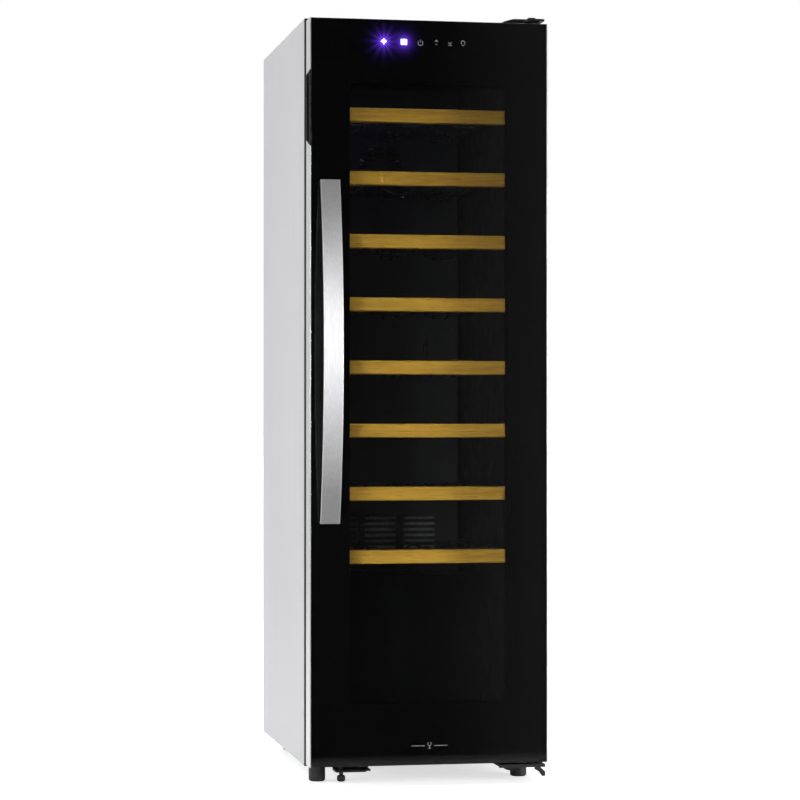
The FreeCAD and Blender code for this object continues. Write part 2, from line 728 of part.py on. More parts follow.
def door_bushes():
    """Plain bearings pressed into the door's top and bottom rails."""
    bushes = []
    for z, flange_z in ((DOOR_BOTTOM, DOOR_BOTTOM - 2), (DOOR_TOP - BUSH_LENGTH, DOOR_TOP)):
        sleeve = rod(BUSH_R, (HINGE_X, HINGE_Y, z), UP, BUSH_LENGTH)
        flange = rod(BUSH_R + 1.5, (HINGE_X, HINGE_Y, flange_z), UP, 2)
        bore = rod(BUSH_BORE_R, (HINGE_X, HINGE_Y, z - 3), UP, BUSH_LENGTH + 6)
        bushes.append(fuse([sleeve, flange]).cut(bore))
    return Part.Compound(bushes)


# ---------------------------------------------------------------- hinges and brackets
def screw_head(x, y, z, direction):
    """Pan-head screw on a horizontal plate; direction is +1 above it and -1 below it."""
    head = rod(4.0, (x, y, z), UP * direction, 2.2)
    return soften(head, 1.2, lambda e: abs(e.CenterOfMass.z - z - direction * 2.2) < 0.01
                  and e.Curve.TypeId == "Part::GeomCircle")


def top_hinge_bracket():
    """Steel plate on the roof, its arm over the door with a doubler, the pin and the screws."""
    top = CABINET_TOP + PLATE
    roof = box(124, PLATE_RIGHT, SHELL_FRONT + 6, 106, CABINET_TOP, top)
    arm = box(ARM_LEFT, PLATE_RIGHT, PLATE_FRONT, SHELL_FRONT + 10, CABINET_TOP, top)
    plate = soften(fuse([roof, arm]), 3.0, lambda e: runs_along(e, UP)
                   and (e.CenterOfMass.x < 125 or e.CenterOfMass.y < PLATE_FRONT + 1
                        or e.CenterOfMass.y > 105))
    doubler = box(ARM_LEFT + 1, 158, PLATE_FRONT + 2, CABINET_FRONT, top, top + 1.6)
    pin_low = DOOR_TOP - BUSH_LENGTH + 2
    pin = rod(PIN_R, (HINGE_X, HINGE_Y, pin_low), UP, top + 1 - pin_low)
    rivet = rod(5.0, (HINGE_X, HINGE_Y, top), UP, 1.8)
    rivet = soften(rivet, 1.2, lambda e: e.Curve.TypeId == "Part::GeomCircle"
                   and e.CenterOfMass.z > top + 1)
    pieces = [plate, doubler, pin, rivet]
    for x, y in ((134, 76), (158, 76), (146, 96)):
        pieces.append(screw_head(x, y, top, 1))
    return fuse(pieces)


def top_hinge_cover():
    """Black cap over the hinge plate on the roof, its left end sloped, slotted for the arm."""
    front, back = SHELL_FRONT + 0.5, 112.0
    outline = [(119.5, CABINET_TOP), (121, CABINET_TOP + 5), (125, CABINET_TOP + 6),
               (137, COVER_TOP), (HALF, COVER_TOP), (HALF, CABINET_TOP)]
    cap = plate_xz(outline, front, back)
    cap = soften(cap, 3.0, lambda e: runs_along(e, UP) and e.CenterOfMass.y > back - 1
                 or abs(e.CenterOfMass.z - COVER_TOP) < 0.01 and runs_along(e, SIDEWAYS))
    room = box(124 - FIT, PLATE_RIGHT + FIT, SHELL_FRONT + 6 - FIT, 106 + FIT, CABINET_TOP - 1,
               CABINET_TOP + PLATE + 2.2 + FIT)
    slot = box(ARM_LEFT - FIT, PLATE_RIGHT + FIT, front - 1, SHELL_FRONT + 6, CABINET_TOP - 1,
               CABINET_TOP + PLATE + FIT)
    return cap.cut(room).cut(slot)


def bottom_hinge_bracket():
    """Folded plate under the cabinet: lower pin, shallow lip, gusset and a stop lever."""
    under = CABINET_BOTTOM - PLATE
    left = 104.0
    back_of_lip = PLATE_FRONT + 2.5
    plate = box(left, PLATE_RIGHT, PLATE_FRONT, 118, under, CABINET_BOTTOM)
    lip = box(left, PLATE_RIGHT, PLATE_FRONT, back_of_lip, under - 1.5, CABINET_BOTTOM)
    gusset = plate_xz([(left, under + 1), (152, under + 1), (152, 18), (134, 10.5), (126, 12)],
                      60, 63)
    pin = rod(PIN_R, (HINGE_X, HINGE_Y, under), UP, DOOR_BOTTOM + BUSH_LENGTH - 2 - under)
    collar = rod(BUSH_R, (HINGE_X, HINGE_Y, CABINET_BOTTOM), UP, DOOR_BOTTOM - 2 - FIT
                 - CABINET_BOTTOM)
    lever = plate_xz([(156, under), (163, under), (PLATE_RIGHT, 15), (PLATE_RIGHT, 8.5),
                      (167, 8.5), (162, 15), (156, 18.5)], PLATE_FRONT, back_of_lip)
    lever = soften(lever, 1.5, lambda e: runs_along(e, BACKWARD) and e.CenterOfMass.z < 19)
    pieces = [plate, lip, gusset, pin, collar, lever]
    for x, y in ((130, 100), (116, 76)):
        pieces.append(screw_head(x, y, under, -1))
    bracket = fuse(pieces)
    return bracket.cut(rod(FOOT_STUD_R + 0.6, (FOOT_X, FOOT_FRONT_Y, 0), UP, CABINET_BOTTOM + 1))


def left_support_bracket():
    """Stepped strip under the cabinet's left front corner with a small levelling screw."""
    left, right = -127.0, -75.0
    front, step_front, step_back, back = 50.0, 79.5, 82.0, 104.0
    low, thick = 15.5, 2.5
    plate = box(left, right, front, step_back, low, low + thick)
    step = box(left, right, step_front, step_back, low, CABINET_BOTTOM)
    tab = box(left, right, step_front, back, CABINET_BOTTOM - thick, CABINET_BOTTOM)
    notch = box(right - 8, right + 1, front - 1, front + 10, low - 1, low + thick + 1)
    screw_x, screw_y, knob_z = -118.0, 60.0, 1.5
    screw = rod(3.0, (screw_x, screw_y, knob_z + 5), UP, 17)
    knob = rod(6.0, (screw_x, screw_y, knob_z), UP, 9.5)
    knob = soften(knob, 3.0, lambda e: e.Curve.TypeId == "Part::GeomCircle")
    return fuse([fuse([plate, step, tab]).cut(notch), screw, knob])


# ---------------------------------------------------------------- feet
def foot_pad(x, y):
    """Round pad with a chamfered lower edge."""
    pad = rod(FOOT_R, (x, y, 0), UP, FOOT_PAD)
    edges = [e for e in pad.Edges if e.Curve.TypeId == "Part::GeomCircle"
             and e.CenterOfMass.z < 0.01]
    return pad.makeChamfer(2.0, edges)


def front_foot(side):
    """Levelling foot with its threaded stud."""
    x = side * FOOT_X
    stud = rod(FOOT_STUD_R, (x, FOOT_FRONT_Y, FOOT_PAD - 2), UP, STUD_TOP - FOOT_PAD + 2)
    return fuse([foot_pad(x, FOOT_FRONT_Y), stud])


def rear_feet():
    """Two fixed feet under the machine bay."""
    feet = []
    for side in (-1, 1):
        x = side * FOOT_REAR_X
        boss = rod(7.0, (x, FOOT_REAR_Y, FOOT_PAD - 1), UP, CABINET_BOTTOM - FOOT_PAD + 1)
        feet.append(fuse([foot_pad(x, FOOT_REAR_Y), boss]))
    return Part.Compound(feet)


# ---------------------------------------------------------------- machine bay
def can(radius, z0, z1, corner):
    """Drum with rounded ends."""
    drum = rod(radius, (COMP_X, COMP_Y, z0), UP, z1 - z0)
    return soften(drum, corner, lambda e: e.Curve.TypeId == "Part::GeomCircle")


def compressor():
    """Hermetic compressor: a closed hollow shell, its weld flange, foot plate and stubs."""
    wall = 9.0
    shell = can(COMP_R, COMP_BOTTOM, COMP_TOP, 30.0)
    flange = rod(COMP_R + 3.5, (COMP_X, COMP_Y, COMP_SEAM), UP, 5)
    flange = soften(flange, 1.5, lambda e: e.Curve.TypeId == "Part::GeomCircle")
    plate = box(COMP_X - MOUNT_X - 12, COMP_X + MOUNT_X + 12, COMP_Y - MOUNT_Y - 12,
                COMP_Y + MOUNT_Y + 12, COMP_PLATE_UNDER, COMP_PLATE_TOP)
    plate = soften(plate, 12.0, lambda e: runs_along(e, UP))
    stubs = [rod(4.0, (COMP_X + STUB_REACH - 20, COMP_Y - STUB_Y, SUCTION_Z), SIDEWAYS, 20),
             rod(4.0, (COMP_X - STUB_REACH + 20, COMP_Y + STUB_Y, DISCHARGE_Z), SIDEWAYS * -1, 20)]
    body = fuse([shell, flange, plate] + stubs)
    body = body.cut(can(COMP_R - wall, COMP_BOTTOM + wall, COMP_TOP - wall, 24.0))
    for x, y in mount_places():
        body = body.cut(rod(6.0, (x, y, COMP_PLATE_UNDER - 1), UP, 6))
    return body


def mount_places():
    """Centres of the four rubber mounts."""
    return [(COMP_X + x, COMP_Y + y) for x in (-MOUNT_X, MOUNT_X) for y in (-MOUNT_Y, MOUNT_Y)]


def compressor_mounts():
    """Four rubber grommets with their bolts and washers."""
    mounts = []
    for at in mount_places():
        lower = rod(11.0, (*at, FLOOR_TOP), UP, COMP_PLATE_UNDER - FLOOR_TOP)
        lower = soften(lower, 2.0, lambda e: e.Curve.TypeId == "Part::GeomCircle"
                       and e.CenterOfMass.z > COMP_PLATE_UNDER - 1)
        waist = rod(6.0, (*at, COMP_PLATE_UNDER - 0.2), UP, 3.4)
        upper = rod(9.0, (*at, COMP_PLATE_TOP), UP, 5)
        bolt = rod(3.0, (*at, COMP_PLATE_TOP + 4.8), UP, 6)
        mounts.append(fuse([lower, waist, upper, bolt]))
    return Part.Compound(mounts)


def relay_cover():
    """Clip-on cover over the start relay on the compressor's side."""
    cover = box(COMP_X - 24, COMP_X + 24, COMP_Y + 60, COMP_Y + 88, 84, 134)
    cover = soften(cover, 4.0, lambda e: runs_along(e, BACKWARD))
    return cover.cut(rod(COMP_R + 3.5 + FIT, (COMP_X, COMP_Y, 70), UP, 100))


def drip_tray():
    """Shallow tray over the compressor that evaporates the defrost water."""
    z0, z1 = COMP_TOP + 1.5, COMP_TOP + 26
    outer = box(COMP_X - 75, COMP_X + 75, COMP_Y - 60, COMP_Y + 60, z0, z1)
    outer = soften(outer, 10.0, lambda e: runs_along(e, UP))
    inner = box(COMP_X - 73, COMP_X + 73, COMP_Y - 58, COMP_Y + 58, z0 + 2, z1 + 1)
    inner = soften(inner, 8.0, lambda e: runs_along(e, UP))
    return outer.cut(inner)


def coil_path():
    """Corners of the condenser's serpentine, from its inlet below to its outlet above."""
    points = []
    for number in range(COIL_PASSES):
        z = COIL_BOTTOM + number * COIL_PITCH
        start = -COIL_HALF if number % 2 == 0 else COIL_HALF
        points += [(start, COIL_Y, z), (-start, COIL_Y, z)]
    return points


def condenser():
    """Black serpentine tube with a grid of wires on both faces."""
    coil = tube(bent_path(coil_path(), COIL_PITCH / 2 - 0.01), COIL_R)
    wire_r, gap = 0.8, 0.05
    wires_each, spacing, overshoot = 21, 9.6, 12.0
    grids = []
    for face in (-1, 1):
        y = COIL_Y + face * (COIL_R + wire_r + gap)
        wires = []
        for number in range(wires_each):
            x = (number - (wires_each - 1) / 2) * spacing
            wires.append(rod(wire_r, (x, y, COIL_BOTTOM - overshoot), UP,
                             COIL_TOP - COIL_BOTTOM + 2 * overshoot))
        for z in (COIL_BOTTOM - 9, COIL_TOP + 9):
            wires.append(box(-98, 98, y - 0.7, y + 0.7, z - 1.5, z + 1.5))
        grids.append(fuse(wires))
    return Part.Compound([coil] + grids)


def condenser_clips():
    """Four plastic stand-offs that hold the condenser off the back panel."""
    clips = []
    for side in (-1, 1):
        for z in (COIL_BOTTOM + 2 * COIL_PITCH, COIL_BOTTOM + 13 * COIL_PITCH):
            x = side * 103.5
            arm = box(x - 4, x + 4, CABINET_BACK, BACK_LIMIT, z - 9, z + 9)
            arm = soften(arm, 3.0, lambda e: runs_along(e, SIDEWAYS)
                         and e.CenterOfMass.y > CABINET_BACK + 1)
            slot = box(x - 5, x + 5, COIL_Y - COIL_R - 0.1, COIL_Y + COIL_R + 0.1,
                       z - COIL_R - 0.1, z + COIL_R + 0.1)
            clips.append(arm.cut(slot))
    return Part.Compound(clips)


def filter_drier():
    """Copper filter drier, a drum with necked ends, standing beside the compressor."""
    neck = 10.0
    body = rod(9.0, (DRIER_X, DRIER_Y, DRIER_BOTTOM + neck), UP,
               DRIER_TOP - DRIER_BOTTOM - 2 * neck)
    body = soften(body, 5.0, lambda e: e.Curve.TypeId == "Part::GeomCircle")
    necks = rod(3.2, (DRIER_X, DRIER_Y, DRIER_BOTTOM), UP, DRIER_TOP - DRIER_BOTTOM)
    return fuse([body, necks])


def refrigerant_pipes():
    """Discharge, liquid, capillary and suction lines between the parts of the circuit."""
    wall_y = BAY_FRONT + SHEET
    left, right = COMP_X - STUB_REACH, COMP_X + STUB_REACH
    out_y, in_y = COMP_Y + STUB_Y, COMP_Y - STUB_Y
    riser_x, drop_x = -COIL_HALF - 22, COIL_HALF + 14
    cross_z, low_z, loop_x, loop_y = 212.0, 58.0, 128.0, 330.0
    discharge = [(left, out_y, DISCHARGE_Z), (left - 26, out_y, DISCHARGE_Z),
                 (left - 26, COIL_Y, DISCHARGE_Z), (riser_x, COIL_Y, DISCHARGE_Z + 40),
                 (riser_x, COIL_Y, COIL_BOTTOM), (-COIL_HALF, COIL_Y, COIL_BOTTOM)]
    liquid = [(COIL_HALF, COIL_Y, COIL_TOP), (drop_x, COIL_Y, COIL_TOP),
              (drop_x, COIL_Y, cross_z), (DRIER_X, COIL_Y, cross_z),
              (DRIER_X, DRIER_Y, cross_z), (DRIER_X, DRIER_Y, DRIER_TOP)]
    suction = [(right, in_y, SUCTION_Z), (right + 32, in_y, SUCTION_Z),
               (right + 32, in_y, SUCTION_Z + 60), (right + 32, wall_y, SUCTION_Z + 60)]
    capillary = [(DRIER_X, DRIER_Y, DRIER_BOTTOM), (DRIER_X, DRIER_Y, low_z),
                 (loop_x, DRIER_Y, low_z), (loop_x, loop_y, low_z),
                 (loop_x, loop_y, low_z + 142), (loop_x, wall_y, low_z + 142)]
    lines = [tube(bent_path(discharge, 9.0), 3.0), tube(bent_path(liquid, 9.0), 2.5),
             tube(bent_path(suction, 14.0), 4.0), tube(bent_path(capillary, 9.0), 1.5)]
    return Part.Compound(lines)


def control_box():
    """Hollow housing of the power board, hung from the bay's side."""
    wall = 2.0
    outer = INSIDE_SHELL - FIT
    shell = box(CONTROL_X, outer, CONTROL_FRONT, CONTROL_BACK, CONTROL_BOTTOM, CONTROL_TOP)
    shell = soften(shell, 3.0, lambda e: runs_along(e, SIDEWAYS))
    hollow = box(CONTROL_X + wall, outer - wall, CONTROL_FRONT + wall, CONTROL_BACK - wall,
                 CONTROL_BOTTOM + wall, CONTROL_TOP - wall)
    return shell.cut(hollow)


def cord_gland():
    """Mains inlet: a bracket plate on the base pan with a round gland for the cord."""
    y0, y1 = 466.0, 469.0
    plate = box(GLAND_X - 20, GLAND_X + 20, y0, y1, FLOOR_TOP, GLAND_Z + 20)
    plate = soften(plate, 5.0, lambda e: runs_along(e, BACKWARD)
                   and e.CenterOfMass.z > FLOOR_TOP + 1)
    barrel = rod(9.0, (GLAND_X, y0 - 8, GLAND_Z), BACKWARD, 26)
    collar = rod(12.0, (GLAND_X, y1, GLAND_Z), BACKWARD, 4)
    gland = fuse([plate, barrel, collar])
    return gland.cut(rod(GLAND_BORE_R, (GLAND_X, y0 - 10, GLAND_Z), BACKWARD, 40))


# ---------------------------------------------------------------- assembly
def build():
    pan = base_pan()
    bar = handle_bar()
    save("side_panel_left", side_panel(-1))
    save("side_panel_right", side_panel(1))
    save("top_panel", top_panel())
    save("back_panel", back_panel())
    save("base_pan", pan)
    save("machine_bay_wall", machine_bay_wall())
    save("front_frame", front_frame())
    save("inner_liner", inner_liner())
    save("foam_insulation", foam_insulation([pan, top_panel()]))
    save("shelf_rails", Part.Compound([shelf_rail(-1), shelf_rail(1)]))
    save("air_duct_panel", air_duct_panel())
    save("evaporator_plate", evaporator_plate())
    save("fan_frame", fan_frame())
    save("fan_rotor", fan_rotor())
    save("led_strip", led_strip())
    for number in range(SHELF_COUNT):
        save(f"shelf_front_{number + 1}", shelf_front(number))
        save(f"shelf_rack_{number + 1}", shelf_rack(number))
    save("door_glass_outer", door_glass_outer())
    save("border_mask", border_mask())
    save("glass_spacer", glass_spacer())
    save("door_glass_inner", door_glass_inner())
    save("door_frame", door_frame())
    save("edge_trims", edge_trims())
    save("grip_cup", grip_cup())
    save("door_gasket", door_gasket())
    save("handle_bar", bar)
    save("handle_posts", handle_posts(bar))
    save("touch_board", touch_board())
    save("door_bushes", door_bushes())
    save("top_hinge_bracket", top_hinge_bracket())
    save("top_hinge_cover", top_hinge_cover())
    save("bottom_hinge_bracket", bottom_hinge_bracket())
    save("left_support_bracket", left_support_bracket())
    save("foot_front_left", front_foot(-1))
    save("foot_front_right", front_foot(1))
    save("rear_feet", rear_feet())
    save("compressor", compressor())
    save("compressor_mounts", compressor_mounts())
    save("relay_cover", relay_cover())
    save("drip_tray", drip_tray())
    save("condenser", condenser())
    save("condenser_clips", condenser_clips())
    save("filter_drier", filter_drier())
    save("refrigerant_pipes", refrigerant_pipes())
    save("control_box", control_box())
    save("cord_gland", cord_gland())


build()
os.makedirs("parts", exist_ok=True)
for name, shape in SHAPES.items():
    shape.exportStep(os.path.join("parts", name + ".step"))
print(len(SHAPES), "sub-parts")
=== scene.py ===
import json
import math

import bmesh
import bpy
from mathutils import Euler, Matrix, Vector


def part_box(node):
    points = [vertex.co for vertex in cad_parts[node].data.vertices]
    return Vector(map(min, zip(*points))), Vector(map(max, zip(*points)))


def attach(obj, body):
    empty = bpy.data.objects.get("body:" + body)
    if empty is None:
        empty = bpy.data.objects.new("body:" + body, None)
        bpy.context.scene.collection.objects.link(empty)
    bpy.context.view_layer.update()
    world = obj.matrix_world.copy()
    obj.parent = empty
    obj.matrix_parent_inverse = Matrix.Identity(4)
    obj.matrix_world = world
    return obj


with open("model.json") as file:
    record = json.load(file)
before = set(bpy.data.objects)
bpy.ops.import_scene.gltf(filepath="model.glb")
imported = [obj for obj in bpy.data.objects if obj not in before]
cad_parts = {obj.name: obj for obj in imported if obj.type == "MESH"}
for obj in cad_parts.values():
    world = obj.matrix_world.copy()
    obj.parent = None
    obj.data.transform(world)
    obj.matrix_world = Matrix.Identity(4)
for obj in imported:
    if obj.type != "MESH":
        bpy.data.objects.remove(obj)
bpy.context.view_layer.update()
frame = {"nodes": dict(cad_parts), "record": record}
scene = bpy.context.scene
MM = 0.001
NODES = frame["nodes"]

# ------------------------------------------------------------------ places and constants
glass_low, glass_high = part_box("door_glass_outer")
liner_low, liner_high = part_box("inner_liner")
panel_low, panel_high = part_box("back_panel")
duct_low, duct_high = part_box("air_duct_panel")
board_low, board_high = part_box("touch_board")
gland_low, gland_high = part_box("cord_gland")
box_low, box_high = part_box("control_box")
FRONT = glass_low.y                     # the door's glass face
BACK_FACE = panel_high.y - 3 * MM       # the back panel's sheet, which its pressed ribs stand on
GLAND_FACE = gland_low.y + 11 * MM      # outside of the gland's plate, behind the barrel's end
PRINT_Y0 = glass_high.y + 0.010 * MM    # print lies between these depths, behind the glass
PRINT_Y1 = glass_high.y + 0.030 * MM
FORWARD, BACKWARD = Vector((0, -1, 0)), Vector((0, 1, 0))

# touch keys, from left to right; the first ones are lit
ICON_Z = (board_low.z + board_high.z) / 2
ICON_X = [x * MM for x in (-66, -37, -13, 10, 30, 49)]
STAR, PANE, POWER, UP, DOWN, BULB = range(6)
LIT_ICONS = 2

WHITE = (1.0, 1.0, 1.0)
BLACK = (0.010, 0.010, 0.011)
BLACK_LIGHT = (0.018, 0.018, 0.020)
NOISE_LOW, NOISE_HIGH = 0.3, 0.7        # nearly all of a noise texture lies between these
BRUSH_DEPTH, FINE_DEPTH, GRAIN_DEPTH = 0.05 * MM, 0.1 * MM, 0.2 * MM    # relief of a bump
SHARP_EDGE = math.radians(40)           # a smooth piece keeps edges sharper than this
MITRE_LIMIT = 0.5                       # a sharp corner reaches out twice half the stroke at most
SCREW_SIDES = 24
PROBE_SIDES = 20


# ------------------------------------------------------------------ materials
class Finish:
    """A procedural material: one Principled shader fed by nodes in object space."""

    def __init__(self, name, **plain):
        self.mat = bpy.data.materials.new(name)
        self.mat.use_nodes = True
        self.tree = self.mat.node_tree
        self.shader = self.tree.nodes["Principled BSDF"]
        self.place = self.new("ShaderNodeTexCoord").outputs["Object"]
        for socket, value in plain.items():
            self.set(socket.replace("_", " "), value)

    def new(self, kind):
        """Add a node."""
        return self.tree.nodes.new(kind)

    def link(self, source, target):
        self.tree.links.new(source, target)

    def set(self, socket, value):
        """Set a constant on the shader's own socket; three numbers are a colour."""
        if isinstance(value, tuple) and len(value) == 3:
            value = (*value, 1.0)
        self.shader.inputs[socket].default_value = value

    def feed(self, socket, source):
        """Drive one of the shader's sockets."""
        self.link(source, self.shader.inputs[socket])

    def stretched(self, x, y, z):
        """Object coordinates scaled along each axis."""
        node = self.new("ShaderNodeVectorMath")
        node.operation = "MULTIPLY"
        node.inputs[1].default_value = (x, y, z)
        self.link(self.place, node.inputs[0])
        return node.outputs[0]

    def noise(self, scale, detail, rough=0.5, at=None, warp=0.0):
        """Fractal noise; scale counts its features along a metre."""
        node = self.new("ShaderNodeTexNoise")
        node.inputs["Scale"].default_value = scale
        node.inputs["Detail"].default_value = detail
        node.inputs["Roughness"].default_value = rough
        node.inputs["Distortion"].default_value = warp
        self.link(at or self.place, node.inputs["Vector"])
        return node.outputs["Fac"]

    def cells(self, scale):
        """Distance to the nearest of scattered points."""
        node = self.new("ShaderNodeTexVoronoi")
        node.inputs["Scale"].default_value = scale
        self.link(self.place, node.inputs["Vector"])
        return node.outputs["Distance"]

    def axis(self, name):
        """One object coordinate."""
        node = self.new("ShaderNodeSeparateXYZ")
        self.link(self.place, node.inputs[0])
        return node.outputs[name]

    def math(self, operation, a, b=0.0, c=0.0):
        """Compute with numbers or node outputs."""
        node = self.new("ShaderNodeMath")
        node.operation = operation
        for number, value in enumerate((a, b, c)):
            if isinstance(value, (int, float)):
                node.inputs[number].default_value = value
            else:
                self.link(value, node.inputs[number])
        return node.outputs[0]

    def weigh(self, a, b, share):
        """Weighted mean: share of a, the rest of b."""
        return self.math("MULTIPLY_ADD", a, share, self.math("MULTIPLY", b, 1.0 - share))

    def spread(self, fac, low, high, start, end):
        """Map fac from start..end to low..high."""
        node = self.new("ShaderNodeMapRange")
        for name, value in (("From Min", start), ("From Max", end), ("To Min", low),
                            ("To Max", high)):
            node.inputs[name].default_value = value
        self.link(fac, node.inputs["Value"])
        return node.outputs["Result"]

    def uneven(self, noise, low, high):
        """Map a noise to the range low..high."""
        return self.spread(noise, low, high, NOISE_LOW, NOISE_HIGH)

    def ramp(self, fac, stops):
        """Colour ramp from (position, colour) pairs."""
        node = self.new("ShaderNodeValToRGB")
        ramp = node.color_ramp
        while len(ramp.elements) < len(stops):
            ramp.elements.new(0.5)
        for element, (position, colour) in zip(ramp.elements, stops):
            element.position = position
            element.color = (*colour, 1.0)
        self.link(fac, node.inputs["Fac"])
        return node.outputs["Color"]

    def two_tone(self, noise, dark, light):
        """Colour a noise from dark to light."""
        return self.ramp(noise, [(NOISE_LOW, dark), (NOISE_HIGH, light)])

    def bump(self, height, strength, distance):
        """Add relief on top of any there is."""
        node = self.new("ShaderNodeBump")
        node.inputs["Strength"].default_value = strength
        node.inputs["Distance"].default_value = distance
        self.link(height, node.inputs["Height"])
        if self.shader.inputs["Normal"].is_linked:
            self.link(self.shader.inputs["Normal"].links[0].from_socket, node.inputs["Normal"])
        self.feed("Normal", node.outputs["Normal"])

    def see_through(self, fac, tint=WHITE):
        """Let rays straight through, tinted, as far as fac says."""
        through = self.new("ShaderNodeBsdfTransparent")
        through.inputs["Color"].default_value = (*tint, 1.0)
        mix = self.new("ShaderNodeMixShader")
        self.link(fac, mix.inputs["Fac"])
        self.link(self.shader.outputs[0], mix.inputs[1])
        self.link(through.outputs[0], mix.inputs[2])
        self.link(mix.outputs[0], self.tree.nodes["Material Output"].inputs["Surface"])


def mottled(name, dark, light, roughness, grain, bump, metallic=0.0, patch=14.0, **plain):
    """Painted, moulded or plated surface: slow colour drift, uneven gloss and a fine grain."""
    f = Finish(name, **plain)
    f.set("Metallic", metallic)
    f.feed("Base Color", f.two_tone(f.noise(patch, 4.0), dark, light))
    f.feed("Roughness", f.uneven(f.noise(patch * 3, 3.0), roughness - 0.05, roughness + 0.06))
    f.bump(f.noise(grain, 2.0), bump, GRAIN_DEPTH)
    return f.mat


def cabinet_paint():
    """Silver-grey enamel with faint vertical drawing lines under it and orange peel on top."""
    f = Finish("cabinet_paint", Metallic=0.2, Coat_Weight=0.15, Coat_Roughness=0.35)
    lines = f.noise(260.0, 3.0, at=f.stretched(1.0, 1.0, 0.012))
    cloud = f.noise(3.0, 3.0, at=f.stretched(1.0, 1.0, 0.5))
    f.feed("Base Color", f.ramp(f.weigh(lines, cloud, 0.35), [(0.35, (0.50, 0.50, 0.515)),
                                                              (0.65, (0.56, 0.56, 0.575))]))
    f.feed("Roughness", f.uneven(cloud, 0.40, 0.50))
    f.bump(lines, 0.04, FINE_DEPTH)
    f.bump(f.noise(700.0, 2.0), 0.03, FINE_DEPTH)
    return f.mat


def galvanised():
    """Zinc-plated sheet with soft spangle."""
    f = Finish("galvanised_steel", Metallic=0.75)
    spangle = f.cells(70.0)
    cloud = f.noise(5.0, 4.0)
    f.feed("Base Color", f.ramp(f.weigh(spangle, cloud, 0.5), [(0.2, (0.36, 0.37, 0.38)),
                                                               (0.7, (0.52, 0.53, 0.54))]))
    f.feed("Roughness", f.spread(spangle, 0.38, 0.55, 0.1, 0.7))
    f.bump(f.noise(900.0, 2.0), 0.06, FINE_DEPTH)
    return f.mat


def beech():
    """Oiled beech: long growth lines, small dark flecks, warm golden brown."""
    f = Finish("beech", Specular_IOR_Level=0.15)
    bands = f.noise(9.0, 4.0, 0.6, f.stretched(0.5, 9.0, 14.0), 1.2)
    fine = f.noise(60.0, 5.0, 0.65, f.stretched(0.35, 12.0, 16.0), 0.6)
    flecks = f.noise(420.0, 2.0, 0.5, f.stretched(0.10, 1.0, 1.0))
    colour = f.ramp(f.weigh(fine, bands, 0.5), [
        (0.30, (0.42, 0.20, 0.026)),
        (0.50, (0.60, 0.325, 0.038)),
        (0.70, (0.74, 0.45, 0.062))])
    mix = f.new("ShaderNodeMix")
    mix.data_type = "RGBA"
    mix.blend_type = "MULTIPLY"
    mix.inputs["Factor"].default_value = 0.35
    f.link(colour, mix.inputs["A"])
    f.link(f.ramp(flecks, [(0.36, (0.45, 0.34, 0.24)), (0.44, WHITE)]), mix.inputs["B"])
    f.feed("Base Color", mix.outputs["Result"])
    f.feed("Roughness", f.uneven(fine, 0.36, 0.52))
    f.bump(fine, 0.12, GRAIN_DEPTH)
    f.bump(flecks, 0.08, FINE_DEPTH)
    return f.mat


def clear_glass():
    """Float glass that lets lamps through, so that the cavity is lit."""
    f = Finish("clear_glass", Base_Color=(0.84, 0.85, 0.85), Roughness=0.0, IOR=1.42,
               Transmission_Weight=1.0)
    path = f.new("ShaderNodeLightPath")
    f.see_through(path.outputs["Is Shadow Ray"], (0.80, 0.81, 0.80))
    return f.mat


def black_print():
    """Ceramic ink behind the glass, with a painted blue-violet glow round the lit keys: emission
    on the ink itself, in star rays round the first.
    """
    core_fall, halo_fall = -250.0, -165.0       # how fast the light fades, per metre
    ray_pairs, ray_power, ray_share = 6.0, 3.0, 0.42
    glow = 3.2
    f = Finish("black_print", Roughness=0.55, Specular_IOR_Level=0.0)
    f.feed("Base Color", f.two_tone(f.noise(30.0, 2.0), (0.0016, 0.0016, 0.0017),
                                    (0.0024, 0.0024, 0.0025)))
    x, z = f.axis("X"), f.axis("Z")
    total = None
    for number in range(LIT_ICONS):
        dx = f.math("SUBTRACT", x, ICON_X[number])
        dz = f.math("SUBTRACT", z, ICON_Z)
        reach = f.math("SQRT", f.math("ADD", f.math("MULTIPLY", dx, dx),
                                      f.math("MULTIPLY", dz, dz)))
        spill = f.math("EXPONENT", f.math("MULTIPLY", reach, core_fall))
        if number == STAR:
            turned = f.math("MULTIPLY", f.math("ARCTAN2", dz, dx), ray_pairs)
            rays = f.math("POWER", f.math("ABSOLUTE", f.math("COSINE", turned)), ray_power)
            halo = f.math("EXPONENT", f.math("MULTIPLY", reach, halo_fall))
            spill = f.math("MULTIPLY_ADD", f.math("MULTIPLY", halo, rays), ray_share, spill)
        total = spill if total is None else f.math("ADD", total, spill)
    # painted glow: the ink gives off light round the lit keys, standing in for their light
    # spilling over it
    f.set("Emission Color", (0.17, 0.05, 1.0))
    f.feed("Emission Strength", f.math("MULTIPLY", total, glow))
    return f.mat


def glowing(name, colour, strength):
    """Print that gives off light, a little uneven: back-lit on the lit keys, a painted glow on the
    grey keys and the emblem.
    """
    f = Finish(name, Roughness=0.5)
    f.set("Base Color", colour)
    f.set("Emission Color", colour)
    f.feed("Emission Strength", f.uneven(f.noise(400.0, 1.0), strength * 0.85, strength * 1.1))
    return f.mat


def brushed_metal(name, dark, light, roughness, strength, x, y, z):
    """Metal with brush lines; the axis with the small factor runs along the lines."""
    f = Finish(name, Metallic=1.0)
    lines = f.noise(500.0, 4.0, 0.65, f.stretched(x, y, z))
    cloud = f.noise(6.0, 2.0)
    f.feed("Base Color", f.ramp(lines, [(0.35, dark), (0.65, light)]))
    f.feed("Roughness", f.spread(f.weigh(lines, cloud, 0.6), roughness - 0.06, roughness + 0.08,
                                 0.35, 0.65))
    f.bump(lines, strength, BRUSH_DEPTH)
    return f.mat


